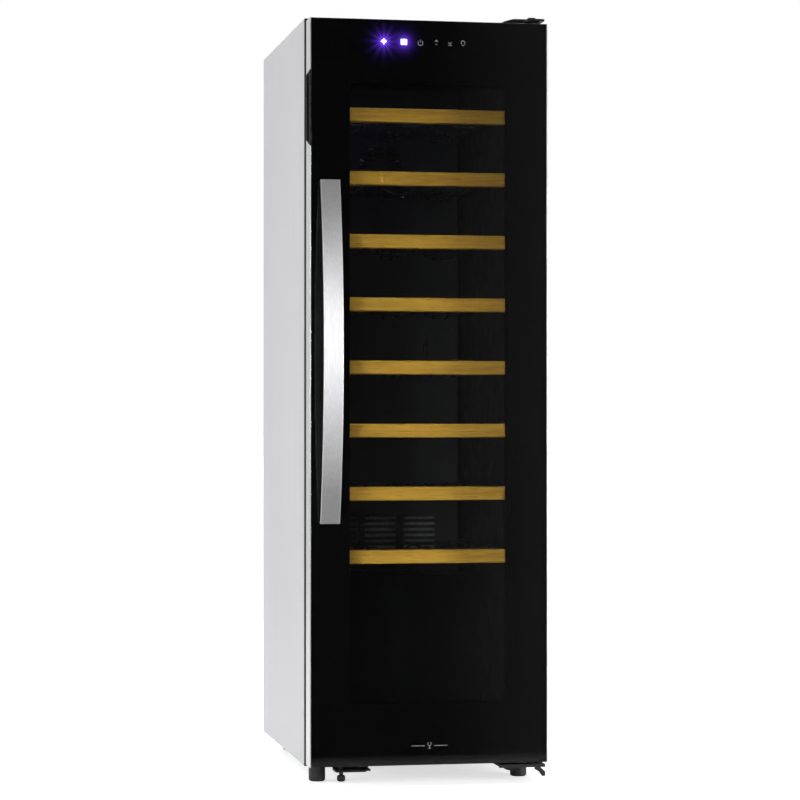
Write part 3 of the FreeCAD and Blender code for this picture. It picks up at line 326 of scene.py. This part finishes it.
def satin_handle():
    """Stainless steel brushed finely along the bar to a soft satin."""
    f = Finish("handle_steel", Metallic=1.0, Anisotropic=0.5)
    lines = f.noise(1400.0, 3.0, 0.6, f.stretched(1.0, 1.0, 0.004))
    cloud = f.noise(8.0, 2.0)
    f.feed("Base Color", f.ramp(lines, [(0.35, (0.72, 0.72, 0.735)), (0.65, (0.84, 0.84, 0.85))]))
    f.feed("Roughness", f.spread(f.weigh(lines, cloud, 0.5), 0.43, 0.50, 0.35, 0.65))
    # the tangent runs across the bar; the slight lean keeps it from vanishing on the flat ends
    across = f.new("ShaderNodeVectorMath")
    across.operation = "CROSS_PRODUCT"
    f.link(f.new("ShaderNodeNewGeometry").outputs["Normal"], across.inputs[0])
    across.inputs[1].default_value = (0.001, 0.002, 1.0)
    f.feed("Tangent", across.outputs[0])
    f.bump(lines, 0.04, BRUSH_DEPTH)
    return f.mat


def copper():
    """Drawn copper tube, tarnished in patches."""
    f = Finish("copper", Metallic=1.0)
    patches = f.noise(45.0, 5.0, 0.6)
    f.feed("Base Color", f.ramp(patches, [(0.35, (0.42, 0.17, 0.09)),
                                          (0.52, (0.72, 0.36, 0.22)),
                                          (0.7, (0.86, 0.50, 0.34))]))
    f.feed("Roughness", f.spread(patches, 0.5, 0.2, 0.35, 0.65))
    f.bump(f.noise(800.0, 2.0), 0.05, FINE_DEPTH)
    return f.mat


def circuit_board():
    """Green solder mask with copper tracks showing through."""
    f = Finish("board", Roughness=0.35, Coat_Weight=0.3)
    tracks = f.cells(420.0)
    f.feed("Base Color", f.ramp(tracks, [(0.25, (0.015, 0.12, 0.045)),
                                         (0.35, (0.01, 0.07, 0.03)),
                                         (0.8, (0.012, 0.09, 0.035))]))
    f.bump(tracks, 0.1, FINE_DEPTH)
    return f.mat


def led_lens():
    """Frosted lens with cool light inside, brighter over each diode."""
    diode_pitch = 16 * MM
    f = Finish("led_lens", Base_Color=(0.75, 0.8, 0.95), Roughness=0.35)
    beads = f.math("COSINE", f.math("MULTIPLY", f.axis("X"), 2 * math.pi / diode_pitch))
    f.set("Emission Color", (0.35, 0.42, 1.0))
    f.feed("Emission Strength", f.spread(beads, 0.8, 2.4, -1.0, 1.0))
    return f.mat


def pale_floor():
    """Matt white floor; in front of the door, mirrors see the dark surroundings through it."""
    glow = 0.62                         # for the camera only, so that the floor comes out white
    clear_to, solid_from = FRONT - 0.35, FRONT - 0.1
    f = Finish("pale_floor", Roughness=0.7, Specular_IOR_Level=0.1, Emission_Color=WHITE)
    f.feed("Base Color", f.two_tone(f.noise(2.0, 2.0), (0.89, 0.89, 0.89), (0.91, 0.91, 0.91)))
    path = f.new("ShaderNodeLightPath")
    f.feed("Emission Strength", f.math("MULTIPLY", path.outputs["Is Camera Ray"], glow))
    ahead = f.spread(f.axis("Y"), 1.0, 0.0, clear_to, solid_from)
    f.see_through(f.math("MULTIPLY", path.outputs["Is Glossy Ray"], ahead))
    return f.mat


FINISHES = {
    "cabinet_paint": cabinet_paint(),
    "galvanised_steel": galvanised(),
    "black_steel": mottled("black_steel", BLACK, BLACK_LIGHT, 0.42, 1100.0, 0.12),
    # the liner's own black, set darker than black plastic is: partly painted shade, so that the
    # cavity reads dark
    "liner_plastic": mottled("liner_plastic", (0.003, 0.003, 0.0033), (0.005, 0.005, 0.0055), 0.34,
                             900.0, 0.015, Specular_IOR_Level=0.14),
    "foam": mottled("foam", (0.70, 0.62, 0.40), (0.80, 0.73, 0.52), 0.9, 300.0, 0.5),
    "duct_plastic": mottled("duct_plastic", (0.008, 0.008, 0.009), (0.013, 0.013, 0.014), 0.45,
                            1200.0, 0.04),
    "evaporator_aluminium": brushed_metal("evaporator_aluminium", (0.55, 0.56, 0.57),
                                          (0.75, 0.76, 0.77), 0.38, 0.1, 1.0, 1.0, 0.05),
    "fan_plastic": mottled("fan_plastic", BLACK, BLACK_LIGHT, 0.38, 700.0, 0.08),
    "led_lens": led_lens(),
    "beech": beech(),
    "rack_wire": mottled("rack_wire", (0.012, 0.012, 0.013), (0.022, 0.022, 0.023), 0.28, 500.0,
                         0.08, patch=60.0),
    "clear_glass": clear_glass(),
    "black_print": black_print(),
    "spacer_bar": brushed_metal("spacer_bar", (0.06, 0.06, 0.065), (0.10, 0.10, 0.105), 0.4, 0.1,
                                1.0, 1.0, 1.0),
    "door_plastic": mottled("door_plastic", BLACK, BLACK_LIGHT, 0.40, 900.0, 0.10),
    "bright_trim": brushed_metal("bright_trim", (0.92, 0.92, 0.925), (0.96, 0.96, 0.965), 0.33,
                                 0.004, 1.0, 1.0, 0.01),
    "grip_plastic": mottled("grip_plastic", BLACK, BLACK_LIGHT, 0.22, 700.0, 0.05),
    "gasket_rubber": mottled("gasket_rubber", (0.008, 0.008, 0.009), (0.014, 0.014, 0.015), 0.62,
                             500.0, 0.15, Specular_IOR_Level=0.2),
    "handle_steel": satin_handle(),
    "board": circuit_board(),
    "bush_plastic": mottled("bush_plastic", (0.70, 0.70, 0.68), (0.78, 0.78, 0.76), 0.45, 600.0,
                            0.05),
    "bracket_steel": mottled("bracket_steel", (0.016, 0.016, 0.017), (0.030, 0.030, 0.032), 0.36,
                             900.0, 0.10, metallic=0.3),
    "foot_plastic": mottled("foot_plastic", (0.012, 0.012, 0.013), (0.022, 0.022, 0.023), 0.35,
                            700.0, 0.10),
    "compressor_paint": mottled("compressor_paint", (0.008, 0.008, 0.009), (0.014, 0.014, 0.015),
                                0.22, 350.0, 0.20),
    "mount_rubber": mottled("mount_rubber", (0.03, 0.03, 0.03), (0.05, 0.05, 0.05), 0.7, 500.0,
                            0.2),
    "relay_plastic": mottled("relay_plastic", (0.02, 0.02, 0.02), (0.03, 0.03, 0.03), 0.45,
                             900.0, 0.1),
    "tray_plastic": mottled("tray_plastic", (0.035, 0.035, 0.037), (0.05, 0.05, 0.052), 0.42,
                            800.0, 0.1),
    "condenser_paint": mottled("condenser_paint", (0.012, 0.012, 0.013), (0.022, 0.022, 0.023),
                               0.4, 900.0, 0.12, patch=40.0),
    "clip_plastic": mottled("clip_plastic", (0.03, 0.03, 0.03), (0.05, 0.05, 0.05), 0.5, 900.0,
                            0.1),
    "copper": copper(),
    "box_plastic": mottled("box_plastic", (0.60, 0.60, 0.58), (0.70, 0.70, 0.68), 0.45, 900.0,
                           0.08),
    "gland_plastic": mottled("gland_plastic", (0.02, 0.02, 0.02), (0.035, 0.035, 0.035), 0.42,
                             900.0, 0.1),
}


def dress_cad_nodes():
    """Give every CAD node the finish of its slot in the record."""
    for part in frame["record"]["subparts"]:
        for held in NODES[part["node"]].material_slots:
            held.material = FINISHES[part["material_slot"]]


# ------------------------------------------------------------------ small pieces
def piece(name, mesh, finish, body, smooth=False):
    """Turn a bmesh into an object with a finish that rides on a body."""
    data = bpy.data.meshes.new(name)
    bmesh.ops.recalc_face_normals(mesh, faces=mesh.faces)
    mesh.to_mesh(data)
    mesh.free()
    for polygon in data.polygons:
        polygon.use_smooth = smooth
    if smooth:
        data.set_sharp_from_angle(angle=SHARP_EDGE)
    data.materials.append(finish)
    made = bpy.data.objects.new(name, data)
    scene.collection.objects.link(made)
    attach(made, body)


def stroke(mesh, points, width, y0, y1, closed=False):
    """Solid line of constant width through (x, z) points, between two depths."""
    points = [Vector((x, z)) for x, z in points]
    count = len(points)
    left, right = [], []
    for number, point in enumerate(points):
        before = points[number - 1] if closed or number else point
        after = points[(number + 1) % count] if closed or number < count - 1 else point
        a = (point - before).normalized() if (point - before).length else None
        b = (after - point).normalized() if (after - point).length else None
        heading = ((a or b) + (b or a)).normalized()
        side = Vector((-heading.y, heading.x))
        spread = max(MITRE_LIMIT, side.dot(Vector((-(a or b).y, (a or b).x))))
        left.append(point + side * width / 2 / spread)
        right.append(point - side * width / 2 / spread)
    rows = []
    for y in (y0, y1):
        rows.append([mesh.verts.new((p.x, y, p.y)) for p in left])
        rows.append([mesh.verts.new((p.x, y, p.y)) for p in right])
    spans = count if closed else count - 1
    for a in range(spans):
        b = (a + 1) % count
        mesh.faces.new((rows[0][a], rows[0][b], rows[1][b], rows[1][a]))
        mesh.faces.new((rows[2][a], rows[2][b], rows[3][b], rows[3][a]))
        mesh.faces.new((rows[0][a], rows[0][b], rows[2][b], rows[2][a]))
        mesh.faces.new((rows[1][a], rows[1][b], rows[3][b], rows[3][a]))
    if not closed:
        for end in (0, count - 1):
            mesh.faces.new((rows[0][end], rows[1][end], rows[3][end], rows[2][end]))


def arc_points(cx, cz, radius, start, end, count):
    """(x, z) points on an arc, angles in degrees."""
    step = (end - start) / (count - 1)
    angles = [math.radians(start + step * number) for number in range(count)]
    return [(cx + radius * math.cos(a), cz + radius * math.sin(a)) for a in angles]


def printed(mesh, cx, cz, points, width, closed=False):
    """Stroke of print on the glass, through points given in mm from a centre; width in mm."""
    stroke(mesh, [(cx + x * MM, cz + z * MM) for x, z in points], width * MM,
           PRINT_Y0, PRINT_Y1, closed)


def touch_icons():
    """Pictograms printed behind the glass: two lit, four grey."""

    def line(mesh, icon, points, width=0.9, closed=False):
        printed(mesh, ICON_X[icon], ICON_Z, points, width, closed)

    lit = bmesh.new()
    for turn, reach in enumerate((4.2, 3.0, 4.2, 3.0)):
        a = math.pi * turn / 4
        x, z = reach * math.cos(a), reach * math.sin(a)
        line(lit, STAR, [(-x, -z), (x, z)])
    line(lit, PANE, [(-3.6, -3.2), (3.6, -3.2), (3.6, 3.2), (-3.6, 3.2)], 1.2, closed=True)
    line(lit, PANE, [(-1.6, 0), (1.6, 0)], 2.6)
    piece("touch_icons_lit", lit, glowing("lit_print", (0.62, 0.56, 1.0), 9.0), "door")

    grey = bmesh.new()
    line(grey, POWER, arc_points(0, -1, 3.4, 125, 415, 24))
    line(grey, POWER, [(0, 0), (0, 4)])
    line(grey, UP, [(-2.4, 1.2), (0, 3.6), (2.4, 1.2)])
    line(grey, UP, [(-1.4, -2.4), (1.4, -2.4)])
    line(grey, DOWN, [(-2.6, 1.4), (0, -1.2), (2.6, 1.4)])
    line(grey, DOWN, [(-2.8, -3), (2.8, -3)])
    line(grey, BULB, arc_points(0, 1, 2.8, -60, 240, 20))
    line(grey, BULB, [(-1.3, -3.0), (1.3, -3.0)])
    # painted glow: the grey keys are not lit, yet their print gives off a faint light
    piece("touch_icons_grey", grey, glowing("grey_print_painted_glow", (0.40, 0.40, 0.42), 0.12), "door")


def emblem():
    """Plain ornament at the foot of the glass: a small goblet between two fine lines."""
    bowl = arc_points(0, 2.2, 2.3, 180, 360, 14)
    strokes = (
        [(-2.0, 5.0), *bowl, (2.0, 5.0)],
        [(0, -0.1), (0, -3.4)],             # stem
        [(-1.8, -3.6), (1.8, -3.6)],        # foot
        [(-7, 0), (-26, 0)],
        [(7, 0), (26, 0)],
    )
    mesh = bmesh.new()
    for points in strokes:
        printed(mesh, 0, glass_low.z + 27 * MM, points, 0.45)
    # painted glow: the silver print gives off light of its own, standing in for its sheen
    piece("emblem", mesh, glowing("silver_print_painted_glow", (0.60, 0.60, 0.62), 0.28), "door")


def ring(mesh, count, move, radius, height):
    """Circle of vertices round the Z axis of a matrix."""
    angles = [2 * math.pi * n / count for n in range(count)]
    return [mesh.verts.new(move @ Vector((radius * math.cos(a), radius * math.sin(a), height)))
            for a in angles]


def join_rings(mesh, rows):
    """Faces between each ring of vertices and the next."""
    for low, high in zip(rows, rows[1:]):
        for n in range(len(low)):
            m = (n + 1) % len(low)
            mesh.faces.new((low[n], low[m], high[m], high[n]))


def screw_head(mesh, place, outward, radius=4.0 * MM, height=2.0 * MM):
    """Pan-head screw with a cross recess, its top facing outward."""
    move = Matrix.Translation(place) @ outward.to_track_quat("Z", "X").to_matrix().to_4x4()
    dome = [(1.0, 0.0), (1.0, 0.35), (0.93, 0.65), (0.78, 0.88), (0.55, 1.0)]
    rows = [ring(mesh, SCREW_SIDES, move, radius * share, height * rise) for share, rise in dome]
    join_rings(mesh, rows)
    arm, half, taper, floor_height = 0.50, 0.12, 0.8, 0.45
    cross = [(arm, -half), (arm, half), (half, half), (half, arm), (-half, arm), (-half, half),
             (-arm, half), (-arm, -half), (-half, -half), (-half, -arm), (half, -arm),
             (half, -half)]
    corners = len(cross)

    def outline(share, rise):
        return [mesh.verts.new(move @ Vector((radius * x * share, radius * y * share,
                                              height * rise))) for x, y in cross]

    top, floor = outline(1.0, 1.0), outline(taper, floor_height)
    join_rings(mesh, [top, floor])
    mesh.faces.new(floor)
    # each of the twelve recess corners takes two of the rim's twenty-four, from the last one on
    rim = rows[-1]
    for n in range(corners):
        a, b, c = (rim[(2 * n + step) % SCREW_SIDES] for step in (-1, 0, 1))
        mesh.faces.new((a, b, top[n]))
        mesh.faces.new((b, c, top[(n + 1) % corners], top[n]))
    mesh.faces.new(list(reversed(rows[0])))


def screws():
    """Screw heads on the duct cover, the back panel and the machine bay's parts."""
    zinc = brushed_metal("zinc_screw", (0.55, 0.55, 0.56), (0.72, 0.72, 0.73), 0.3, 0.1,
                         1.0, 1.0, 1.0)
    mesh = bmesh.new()
    for x in (duct_low.x + 12 * MM, duct_high.x - 12 * MM):
        for z in (duct_low.z + 20 * MM, (duct_low.z + duct_high.z) / 2, duct_high.z - 24 * MM):
            screw_head(mesh, Vector((x, duct_low.y, z)), FORWARD, 3.6 * MM, 1.6 * MM)
    piece("duct_screws", mesh, FINISHES["bracket_steel"], "cabinet", True)

    mesh = bmesh.new()
    down_each_side, side_edge, end_edge = 6, 8 * MM, 12 * MM
    gap = (panel_high.z - panel_low.z - 2 * end_edge) / (down_each_side - 1)
    for x in (panel_low.x + side_edge, panel_high.x - side_edge):
        for number in range(down_each_side):
            screw_head(mesh, Vector((x, BACK_FACE, panel_low.z + end_edge + number * gap)),
                       BACKWARD)
    for x in (-80 * MM, 0, 80 * MM):
        screw_head(mesh, Vector((x, BACK_FACE, panel_high.z - 14 * MM)), BACKWARD)
    piece("back_screws", mesh, zinc, "cabinet", True)

    mesh = bmesh.new()
    gland_middle = (gland_low.x + gland_high.x) / 2
    for x in (gland_middle - 14 * MM, gland_middle + 14 * MM):
        screw_head(mesh, Vector((x, GLAND_FACE, gland_high.z - 6 * MM)), BACKWARD,
                   2.6 * MM, 1.3 * MM)
    for x in (box_low.x + 8 * MM, box_high.x - 8 * MM):
        for z in (box_low.z + 10 * MM, box_high.z - 10 * MM):
            screw_head(mesh, Vector((x, box_high.y, z)), BACKWARD, 2.8 * MM, 1.4 * MM)
    piece("bay_screws", mesh, zinc, "cabinet", True)


def blank_plate():
    """Blank type plate on the back panel, held by four rivets."""
    half_x, half_z, corner, thick, chamfer = 36 * MM, 19 * MM, 3 * MM, 0.7 * MM, 0.3 * MM
    cx, cz = 10 * MM, panel_low.z + 42 * MM
    outline = []
    for n, (sx, sz) in enumerate(((1, 1), (-1, 1), (-1, -1), (1, -1))):
        outline += arc_points(cx + sx * (half_x - corner), cz + sz * (half_z - corner), corner,
                              90 * n, 90 * n + 90, 6)
    mesh = bmesh.new()
    rows = []
    for inset, rise in ((0.0, 0.0), (0.0, 0.7), (chamfer, 1.0)):
        rows.append([mesh.verts.new((cx + (x - cx) * (1 - inset / half_x),
                                     BACK_FACE + thick * rise,
                                     cz + (z - cz) * (1 - inset / half_z))) for x, z in outline])
    join_rings(mesh, rows)
    mesh.faces.new(rows[-1])
    mesh.faces.new(list(reversed(rows[0])))
    plate = brushed_metal("plate_aluminium", (0.70, 0.70, 0.71), (0.82, 0.82, 0.83), 0.34, 0.05,
                          0.02, 1.0, 1.0)
    piece("blank_plate", mesh, plate, "cabinet")

    mesh = bmesh.new()
    for sx in (-1, 1):
        for sz in (-1, 1):
            screw_head(mesh, Vector((cx + sx * (half_x - 5 * MM), BACK_FACE + thick,
                                     cz + sz * (half_z - 5 * MM))), BACKWARD, 1.8 * MM, 0.9 * MM)
    piece("plate_rivets", mesh, FINISHES["evaporator_aluminium"], "cabinet",
          True)


def temperature_probe():
    """Small probe in a sprung clip on the duct cover."""
    x, y, z = 70 * MM, duct_low.y - 5 * MM, 620 * MM
    mesh = bmesh.new()
    # the clip is drawn as strokes in x and y, then laid down so that its depth runs up the probe
    clip_low, clip_high = z + 8.5 * MM, z + 15.5 * MM
    base_half, base_thick = 5.5 * MM, 1.4 * MM
    base_y = duct_low.y - base_thick / 2
    stroke(mesh, arc_points(x, y, 3.6 * MM, -50, 230, 29), 1.0 * MM, clip_low, clip_high)
    stroke(mesh, [(x - base_half, base_y), (x + base_half, base_y)], base_thick,
           clip_low, clip_high)
    for corner in mesh.verts:
        corner.co = corner.co.xzy
    # radius and height in mm, from the rounded tip to the cable's sleeve
    profile = [(2.2, 0.6), (3.0, 2.6), (3.0, 22.0), (2.2, 24.0), (1.4, 25.0), (1.4, 30.0)]
    foot = Matrix.Translation((x, y, z))
    rows = [ring(mesh, PROBE_SIDES, foot, r * MM, h * MM) for r, h in profile]
    join_rings(mesh, rows)
    mesh.faces.new(rows[0])
    mesh.faces.new(rows[-1])
    piece("temperature_probe", mesh, FINISHES["relay_plastic"], "cabinet", True)


# ------------------------------------------------------------------ studio
def studio_world():
    """White surroundings, dark straight ahead of the glass so that it mirrors black."""
    world = bpy.data.worlds.new("studio")
    scene.world = world
    world.use_nodes = True
    tree = world.node_tree
    tree.nodes.clear()

    def new(kind, **values):
        node = tree.nodes.new(kind)
        for name, value in values.items():
            setattr(node, name, value)
        return node

    def compute(operation, a, b=0.0):
        node = new("ShaderNodeMath", operation=operation)
        for number, value in enumerate((a, b)):
            if isinstance(value, (int, float)):
                node.inputs[number].default_value = value
            else:
                tree.links.new(value, node.inputs[number])
        return node.outputs[0]

    def smooth(value, start, end, low, high):
        """Rise from low to high while value goes from start to end."""
        node = new("ShaderNodeMapRange", interpolation_type="SMOOTHSTEP")
        for name, number in (("From Min", start), ("From Max", end), ("To Min", low),
                             ("To Max", high)):
            node.inputs[name].default_value = number
        tree.links.new(value, node.inputs["Value"])
        return node.outputs["Result"]

    def turning(angle, start, end, low, high):
        """The same over an angle, its ends given in degrees."""
        return smooth(angle, math.radians(start), math.radians(end), low, high)

    split = new("ShaderNodeSeparateXYZ")
    tree.links.new(new("ShaderNodeTexCoord").outputs["Generated"], split.inputs[0])
    x, y, z = split.outputs
    # 0 straight ahead of the door, positive towards +X
    azimuth = compute("ARCTAN2", x, compute("MULTIPLY", y, -1.0))
    left = turning(azimuth, -34, -80, 0.0, 0.52)
    right = turning(azimuth, 34, 80, 0.0, 0.44)
    behind = turning(compute("ABSOLUTE", azimuth), 110, 150, 1.0, 1.36)
    aside = compute("MULTIPLY", compute("ADD", left, right), behind)
    above = compute("MULTIPLY", smooth(z, 0.45, 0.95, 0.0, 0.95),
                    smooth(y, -0.45, 0.25, 0.06, 1.0))
    # what the glass mirrors at the main view, a step brighter to the right
    ahead = turning(azimuth, 11, 14.5, 0.02, 0.14)
    light = compute("ADD", aside, compute("ADD", above, ahead))
    lighting = new("ShaderNodeBackground")
    tree.links.new(light, lighting.inputs["Strength"])
    seen = new("ShaderNodeBackground")
    seen.inputs["Color"].default_value = (*WHITE, 1.0)
    mix = new("ShaderNodeMixShader")
    tree.links.new(new("ShaderNodeLightPath").outputs["Is Camera Ray"], mix.inputs["Fac"])
    tree.links.new(lighting.outputs[0], mix.inputs[1])
    tree.links.new(seen.outputs[0], mix.inputs[2])
    tree.links.new(mix.outputs[0], new("ShaderNodeOutputWorld").inputs["Surface"])


def area_light(name, place, target, width, height, power, colour=WHITE, spread=180):
    """Rectangular lamp aimed at a target; its spread is in degrees."""
    data = bpy.data.lights.new(name, "AREA")
    data.shape = "RECTANGLE"
    data.size, data.size_y = width, height
    data.energy = power
    data.color = colour
    data.spread = math.radians(spread)
    lamp = bpy.data.objects.new(name, data)
    scene.collection.objects.link(lamp)
    lamp.location = place
    lamp.rotation_euler = (Vector(target) - Vector(place)).to_track_quat("-Z", "Y").to_euler()
    lamp.visible_camera = False
    return lamp


def beside_door(angle, distance, height):
    """Point in front of the door, the angle turned from straight ahead towards +X."""
    turn = math.radians(angle)
    return (distance * math.sin(turn), FRONT - distance * math.cos(turn), height)


def lay_floor():
    """Wide flat floor."""
    reach = 40.0
    mesh = bmesh.new()
    mesh.faces.new([mesh.verts.new((x, y, 0)) for x, y in
                    ((-reach, -reach), (reach, -reach), (reach, reach), (-reach, reach))])
    data = bpy.data.meshes.new("floor")
    mesh.to_mesh(data)
    mesh.free()
    data.materials.append(pale_floor())
    floor = bpy.data.objects.new("floor", data)
    scene.collection.objects.link(floor)


def hang_lamps():
    """Two narrow lamps before the door, three soft ones round the cabinet, one bar inside it."""
    low_door, mid_door = (0, FRONT, 0.29), (0, FRONT, 0.62)
    low_cabinet, cabinet = (0, 0, 0.45), (0, 0, 0.55)
    area_light("key_left", beside_door(-26, 1.7, 0.74), low_door, 0.14, 0.80, 2.15, spread=62)
    area_light("fill_right", beside_door(48, 2.3, 0.62), mid_door, 0.16, 0.8, 24)
    area_light("top", (0, 0.7, 3.2), cabinet, 2.0, 2.0, 26)
    area_light("back", (0.6, 3.2, 1.6), cabinet, 1.8, 1.6, 9)
    side = area_light("side_left", (-2.6, 0.1, 0.55), low_cabinet, 1.2, 0.7, 38)
    side.visible_glossy = False      # else the bright trim turns as white as the surroundings
    ceiling = liner_high.z - 14 * MM
    area_light("cavity_led", (0, liner_low.y + 30 * MM, ceiling), (0, liner_low.y + 60 * MM, 0.5),
               0.18, 0.01, 0.05, (0.45, 0.40, 1.0))


def camera():
    """Near mid-height with a long lens, a little to the left of the door."""
    turn_right, tilt_up = math.radians(10.7145), math.radians(0.5751)
    data = bpy.data.cameras.new("camera")
    data.sensor_width = 36.0
    data.lens = 117.84
    data.clip_end = 200.0
    made = bpy.data.objects.new("camera", data)
    scene.collection.objects.link(made)
    made.location = (-0.73437, FRONT - 3.65255, 0.51101)
    made.rotation_euler = Euler((math.pi / 2 + tilt_up, 0, -turn_right), "XYZ")
    scene.camera = made


camera()
lay_floor()
studio_world()
hang_lamps()
dress_cad_nodes()
touch_icons()
emblem()
screws()
blank_plate()
temperature_probe()
scene.view_settings.view_transform = "Standard"
